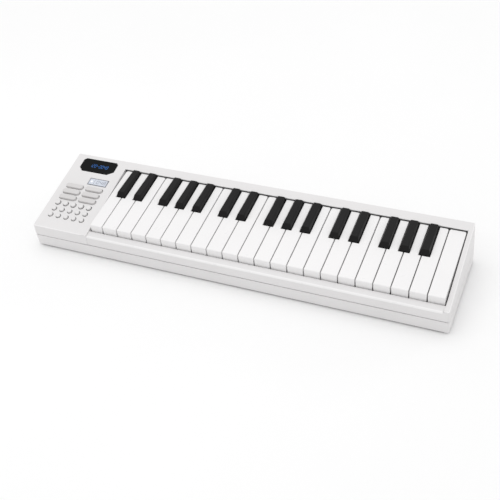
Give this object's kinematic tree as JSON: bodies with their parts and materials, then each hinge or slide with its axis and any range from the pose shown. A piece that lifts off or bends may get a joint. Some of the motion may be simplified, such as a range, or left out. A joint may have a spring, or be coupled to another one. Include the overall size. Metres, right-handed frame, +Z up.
{
  "type": "synthesizer",
  "caption": "Small desktop synthesizer with slim piano-style keys, a sloped button panel with a dark display window, and a two-part case.",
  "frame": {"origin": "on the floor, under the middle of the case", "axes": "+X along the keyboard from the low keys to the high keys, +Y to the rear, +Z up"},
  "size_m": [0.5368, 0.1276, 0.0582],
  "materials": {
    "case": "white moulded plastic, fine satin texture",
    "white_key": "white moulded plastic, soft gloss",
    "black_key": "black moulded plastic, semi gloss",
    "button": "pale grey silicone-like plastic, matte",
    "display_lens": "dark tinted acrylic, polished",
    "lcd_lens": "pale blue-white LCD behind a clear lens",
    "display_module": "dark module, matte",
    "circuit_board": "green solder mask",
    "frame_plastic": "dark filled plastic, matte",
    "rod_steel": "drawn steel",
    "contact_rubber": "soft contact rubber",
    "foot_rubber": "matte rubber",
    "socket_metal": "pressed steel shell",
    "socket_plastic": "black plastic, matte"
  },
  "bodies": {
    "case": {"top_case": "case", "bottom_case": "case", "front_foot": "foot_rubber", "rear_foot": "foot_rubber", "usb_socket": "socket_metal", "pedal_jack": "socket_plastic", "key_frame": "frame_plastic", "key_pivot_rod": "rod_steel", "key_contact_board": "circuit_board", "key_contact_strip": "contact_rubber", "display_window": "display_lens", "display_module": "display_module", "small_lcd": "lcd_lens", "main_board": "circuit_board"},
    "white_key_01": {"white_key_01": "white_key"},
    "black_key_c_sharp_1": {"black_key_c_sharp_1": "black_key"},
    "white_key_02": {"white_key_02": "white_key"},
    "black_key_d_sharp_1": {"black_key_d_sharp_1": "black_key"},
    "white_key_03": {"white_key_03": "white_key"},
    "white_key_04": {"white_key_04": "white_key"},
    "black_key_f_sharp_1": {"black_key_f_sharp_1": "black_key"},
    "white_key_05": {"white_key_05": "white_key"},
    "black_key_g_sharp_1": {"black_key_g_sharp_1": "black_key"},
    "white_key_06": {"white_key_06": "white_key"},
    "black_key_a_sharp_1": {"black_key_a_sharp_1": "black_key"},
    "white_key_07": {"white_key_07": "white_key"},
    "white_key_08": {"white_key_08": "white_key"},
    "black_key_c_sharp_2": {"black_key_c_sharp_2": "black_key"},
    "white_key_09": {"white_key_09": "white_key"},
    "black_key_d_sharp_2": {"black_key_d_sharp_2": "black_key"},
    "white_key_10": {"white_key_10": "white_key"},
    "white_key_11": {"white_key_11": "white_key"},
    "black_key_f_sharp_2": {"black_key_f_sharp_2": "black_key"},
    "white_key_12": {"white_key_12": "white_key"},
    "black_key_g_sharp_2": {"black_key_g_sharp_2": "black_key"},
    "white_key_13": {"white_key_13": "white_key"},
    "black_key_a_sharp_2": {"black_key_a_sharp_2": "black_key"},
    "white_key_14": {"white_key_14": "white_key"},
    "white_key_15": {"white_key_15": "white_key"},
    "black_key_c_sharp_3": {"black_key_c_sharp_3": "black_key"},
    "white_key_16": {"white_key_16": "white_key"},
    "black_key_d_sharp_3": {"black_key_d_sharp_3": "black_key"},
    "white_key_17": {"white_key_17": "white_key"},
    "white_key_18": {"white_key_18": "white_key"},
    "black_key_f_sharp_3": {"black_key_f_sharp_3": "black_key"},
    "white_key_19": {"white_key_19": "white_key"},
    "black_key_g_sharp_3": {"black_key_g_sharp_3": "black_key"},
    "white_key_20": {"white_key_20": "white_key"},
    "black_key_a_sharp_3": {"black_key_a_sharp_3": "black_key"},
    "white_key_21": {"white_key_21": "white_key"},
    "white_key_22": {"white_key_22": "white_key"},
    "pill_button_left_1": {"pill_button_left_1": "button"},
    "pill_button_left_2": {"pill_button_left_2": "button"},
    "pill_button_left_3": {"pill_button_left_3": "button"},
    "pill_button_right_1": {"pill_button_right_1": "button"},
    "pill_button_right_2": {"pill_button_right_2": "button"},
    "pill_button_right_3": {"pill_button_right_3": "button"},
    "round_button_row_1": {"round_button_row_1": "button"},
    "round_button_row_2": {"round_button_row_2": "button"},
    "round_button_row_3": {"round_button_row_3": "button"}
  },
  "joints": [
    {"name": "white_key_01_press", "type": "hinge", "parent": "case", "child": "white_key_01", "pos_m": [0, 0.05607, 0.045], "axis": [1, 0, 0], "range_deg": [0, 3.7], "stiffness_Nm_per_rad": 0.1, "springref_deg": -28.65},
    {"name": "black_key_c_sharp_1_press", "type": "hinge", "parent": "case", "child": "black_key_c_sharp_1", "pos_m": [0, 0.05607, 0.045], "axis": [1, 0, 0], "range_deg": [0, 4], "stiffness_Nm_per_rad": 0.1, "springref_deg": -28.65},
    {"name": "white_key_02_press", "type": "hinge", "parent": "case", "child": "white_key_02", "pos_m": [0, 0.05607, 0.045], "axis": [1, 0, 0], "range_deg": [0, 3.7], "stiffness_Nm_per_rad": 0.1, "springref_deg": -28.65},
    {"name": "black_key_d_sharp_1_press", "type": "hinge", "parent": "case", "child": "black_key_d_sharp_1", "pos_m": [0, 0.05607, 0.045], "axis": [1, 0, 0], "range_deg": [0, 4], "stiffness_Nm_per_rad": 0.1, "springref_deg": -28.65},
    {"name": "white_key_03_press", "type": "hinge", "parent": "case", "child": "white_key_03", "pos_m": [0, 0.05607, 0.045], "axis": [1, 0, 0], "range_deg": [0, 3.7], "stiffness_Nm_per_rad": 0.1, "springref_deg": -28.65},
    {"name": "white_key_04_press", "type": "hinge", "parent": "case", "child": "white_key_04", "pos_m": [0, 0.05607, 0.045], "axis": [1, 0, 0], "range_deg": [0, 3.7], "stiffness_Nm_per_rad": 0.1, "springref_deg": -28.65},
    {"name": "black_key_f_sharp_1_press", "type": "hinge", "parent": "case", "child": "black_key_f_sharp_1", "pos_m": [0, 0.05607, 0.045], "axis": [1, 0, 0], "range_deg": [0, 4], "stiffness_Nm_per_rad": 0.1, "springref_deg": -28.65},
    {"name": "white_key_05_press", "type": "hinge", "parent": "case", "child": "white_key_05", "pos_m": [0, 0.05607, 0.045], "axis": [1, 0, 0], "range_deg": [0, 3.7], "stiffness_Nm_per_rad": 0.1, "springref_deg": -28.65},
    {"name": "black_key_g_sharp_1_press", "type": "hinge", "parent": "case", "child": "black_key_g_sharp_1", "pos_m": [0, 0.05607, 0.045], "axis": [1, 0, 0], "range_deg": [0, 4], "stiffness_Nm_per_rad": 0.1, "springref_deg": -28.65},
    {"name": "white_key_06_press", "type": "hinge", "parent": "case", "child": "white_key_06", "pos_m": [0, 0.05607, 0.045], "axis": [1, 0, 0], "range_deg": [0, 3.7], "stiffness_Nm_per_rad": 0.1, "springref_deg": -28.65},
    {"name": "black_key_a_sharp_1_press", "type": "hinge", "parent": "case", "child": "black_key_a_sharp_1", "pos_m": [0, 0.05607, 0.045], "axis": [1, 0, 0], "range_deg": [0, 4], "stiffness_Nm_per_rad": 0.1, "springref_deg": -28.65},
    {"name": "white_key_07_press", "type": "hinge", "parent": "case", "child": "white_key_07", "pos_m": [0, 0.05607, 0.045], "axis": [1, 0, 0], "range_deg": [0, 3.7], "stiffness_Nm_per_rad": 0.1, "springref_deg": -28.65},
    {"name": "white_key_08_press", "type": "hinge", "parent": "case", "child": "white_key_08", "pos_m": [0, 0.05607, 0.045], "axis": [1, 0, 0], "range_deg": [0, 3.7], "stiffness_Nm_per_rad": 0.1, "springref_deg": -28.65},
    {"name": "black_key_c_sharp_2_press", "type": "hinge", "parent": "case", "child": "black_key_c_sharp_2", "pos_m": [0, 0.05607, 0.045], "axis": [1, 0, 0], "range_deg": [0, 4], "stiffness_Nm_per_rad": 0.1, "springref_deg": -28.65},
    {"name": "white_key_09_press", "type": "hinge", "parent": "case", "child": "white_key_09", "pos_m": [0, 0.05607, 0.045], "axis": [1, 0, 0], "range_deg": [0, 3.7], "stiffness_Nm_per_rad": 0.1, "springref_deg": -28.65},
    {"name": "black_key_d_sharp_2_press", "type": "hinge", "parent": "case", "child": "black_key_d_sharp_2", "pos_m": [0, 0.05607, 0.045], "axis": [1, 0, 0], "range_deg": [0, 4], "stiffness_Nm_per_rad": 0.1, "springref_deg": -28.65},
    {"name": "white_key_10_press", "type": "hinge", "parent": "case", "child": "white_key_10", "pos_m": [0, 0.05607, 0.045], "axis": [1, 0, 0], "range_deg": [0, 3.7], "stiffness_Nm_per_rad": 0.1, "springref_deg": -28.65},
    {"name": "white_key_11_press", "type": "hinge", "parent": "case", "child": "white_key_11", "pos_m": [0, 0.05607, 0.045], "axis": [1, 0, 0], "range_deg": [0, 3.7], "stiffness_Nm_per_rad": 0.1, "springref_deg": -28.65},
    {"name": "black_key_f_sharp_2_press", "type": "hinge", "parent": "case", "child": "black_key_f_sharp_2", "pos_m": [0, 0.05607, 0.045], "axis": [1, 0, 0], "range_deg": [0, 4], "stiffness_Nm_per_rad": 0.1, "springref_deg": -28.65},
    {"name": "white_key_12_press", "type": "hinge", "parent": "case", "child": "white_key_12", "pos_m": [0, 0.05607, 0.045], "axis": [1, 0, 0], "range_deg": [0, 3.7], "stiffness_Nm_per_rad": 0.1, "springref_deg": -28.65},
    {"name": "black_key_g_sharp_2_press", "type": "hinge", "parent": "case", "child": "black_key_g_sharp_2", "pos_m": [0, 0.05607, 0.045], "axis": [1, 0, 0], "range_deg": [0, 4], "stiffness_Nm_per_rad": 0.1, "springref_deg": -28.65},
    {"name": "white_key_13_press", "type": "hinge", "parent": "case", "child": "white_key_13", "pos_m": [0, 0.05607, 0.045], "axis": [1, 0, 0], "range_deg": [0, 3.7], "stiffness_Nm_per_rad": 0.1, "springref_deg": -28.65},
    {"name": "black_key_a_sharp_2_press", "type": "hinge", "parent": "case", "child": "black_key_a_sharp_2", "pos_m": [0, 0.05607, 0.045], "axis": [1, 0, 0], "range_deg": [0, 4], "stiffness_Nm_per_rad": 0.1, "springref_deg": -28.65},
    {"name": "white_key_14_press", "type": "hinge", "parent": "case", "child": "white_key_14", "pos_m": [0, 0.05607, 0.045], "axis": [1, 0, 0], "range_deg": [0, 3.7], "stiffness_Nm_per_rad": 0.1, "springref_deg": -28.65},
    {"name": "white_key_15_press", "type": "hinge", "parent": "case", "child": "white_key_15", "pos_m": [0, 0.05607, 0.045], "axis": [1, 0, 0], "range_deg": [0, 3.7], "stiffness_Nm_per_rad": 0.1, "springref_deg": -28.65},
    {"name": "black_key_c_sharp_3_press", "type": "hinge", "parent": "case", "child": "black_key_c_sharp_3", "pos_m": [0, 0.05607, 0.045], "axis": [1, 0, 0], "range_deg": [0, 4], "stiffness_Nm_per_rad": 0.1, "springref_deg": -28.65},
    {"name": "white_key_16_press", "type": "hinge", "parent": "case", "child": "white_key_16", "pos_m": [0, 0.05607, 0.045], "axis": [1, 0, 0], "range_deg": [0, 3.7], "stiffness_Nm_per_rad": 0.1, "springref_deg": -28.65},
    {"name": "black_key_d_sharp_3_press", "type": "hinge", "parent": "case", "child": "black_key_d_sharp_3", "pos_m": [0, 0.05607, 0.045], "axis": [1, 0, 0], "range_deg": [0, 4], "stiffness_Nm_per_rad": 0.1, "springref_deg": -28.65},
    {"name": "white_key_17_press", "type": "hinge", "parent": "case", "child": "white_key_17", "pos_m": [0, 0.05607, 0.045], "axis": [1, 0, 0], "range_deg": [0, 3.7], "stiffness_Nm_per_rad": 0.1, "springref_deg": -28.65},
    {"name": "white_key_18_press", "type": "hinge", "parent": "case", "child": "white_key_18", "pos_m": [0, 0.05607, 0.045], "axis": [1, 0, 0], "range_deg": [0, 3.7], "stiffness_Nm_per_rad": 0.1, "springref_deg": -28.65},
    {"name": "black_key_f_sharp_3_press", "type": "hinge", "parent": "case", "child": "black_key_f_sharp_3", "pos_m": [0, 0.05607, 0.045], "axis": [1, 0, 0], "range_deg": [0, 4], "stiffness_Nm_per_rad": 0.1, "springref_deg": -28.65},
    {"name": "white_key_19_press", "type": "hinge", "parent": "case", "child": "white_key_19", "pos_m": [0, 0.05607, 0.045], "axis": [1, 0, 0], "range_deg": [0, 3.7], "stiffness_Nm_per_rad": 0.1, "springref_deg": -28.65},
    {"name": "black_key_g_sharp_3_press", "type": "hinge", "parent": "case", "child": "black_key_g_sharp_3", "pos_m": [0, 0.05607, 0.045], "axis": [1, 0, 0], "range_deg": [0, 4], "stiffness_Nm_per_rad": 0.1, "springref_deg": -28.65},
    {"name": "white_key_20_press", "type": "hinge", "parent": "case", "child": "white_key_20", "pos_m": [0, 0.05607, 0.045], "axis": [1, 0, 0], "range_deg": [0, 3.7], "stiffness_Nm_per_rad": 0.1, "springref_deg": -28.65},
    {"name": "black_key_a_sharp_3_press", "type": "hinge", "parent": "case", "child": "black_key_a_sharp_3", "pos_m": [0, 0.05607, 0.045], "axis": [1, 0, 0], "range_deg": [0, 4], "stiffness_Nm_per_rad": 0.1, "springref_deg": -28.65},
    {"name": "white_key_21_press", "type": "hinge", "parent": "case", "child": "white_key_21", "pos_m": [0, 0.05607, 0.045], "axis": [1, 0, 0], "range_deg": [0, 3.7], "stiffness_Nm_per_rad": 0.1, "springref_deg": -28.65},
    {"name": "white_key_22_press", "type": "hinge", "parent": "case", "child": "white_key_22", "pos_m": [0, 0.05607, 0.045], "axis": [1, 0, 0], "range_deg": [0, 3.7], "stiffness_Nm_per_rad": 0.1, "springref_deg": -28.65},
    {"name": "pill_button_left_1_push", "type": "slide", "parent": "case", "child": "pill_button_left_1", "axis": [0, 0.1797, -0.9837], "range_m": [0, 0.001], "stiffness_N_per_m": 300, "springref_m": -0.003},
    {"name": "pill_button_left_2_push", "type": "slide", "parent": "case", "child": "pill_button_left_2", "axis": [0, 0.1797, -0.9837], "range_m": [0, 0.001], "stiffness_N_per_m": 300, "springref_m": -0.003},
    {"name": "pill_button_left_3_push", "type": "slide", "parent": "case", "child": "pill_button_left_3", "axis": [0, 0.1797, -0.9837], "range_m": [0, 0.001], "stiffness_N_per_m": 300, "springref_m": -0.003},
    {"name": "pill_button_right_1_push", "type": "slide", "parent": "case", "child": "pill_button_right_1", "axis": [0, 0.1797, -0.9837], "range_m": [0, 0.001], "stiffness_N_per_m": 300, "springref_m": -0.003},
    {"name": "pill_button_right_2_push", "type": "slide", "parent": "case", "child": "pill_button_right_2", "axis": [0, 0.1797, -0.9837], "range_m": [0, 0.001], "stiffness_N_per_m": 300, "springref_m": -0.003},
    {"name": "pill_button_right_3_push", "type": "slide", "parent": "case", "child": "pill_button_right_3", "axis": [0, 0.1797, -0.9837], "range_m": [0, 0.001], "stiffness_N_per_m": 300, "springref_m": -0.003},
    {"name": "round_button_row_1_push", "type": "slide", "parent": "case", "child": "round_button_row_1", "axis": [0, 0.1797, -0.9837], "range_m": [0, 0.001], "stiffness_N_per_m": 300, "springref_m": -0.003},
    {"name": "round_button_row_2_push", "type": "slide", "parent": "case", "child": "round_button_row_2", "axis": [0, 0.1797, -0.9837], "range_m": [0, 0.001], "stiffness_N_per_m": 300, "springref_m": -0.003},
    {"name": "round_button_row_3_push", "type": "slide", "parent": "case", "child": "round_button_row_3", "axis": [0, 0.1797, -0.9837], "range_m": [0, 0.001], "stiffness_N_per_m": 300, "springref_m": -0.003}
  ]
}
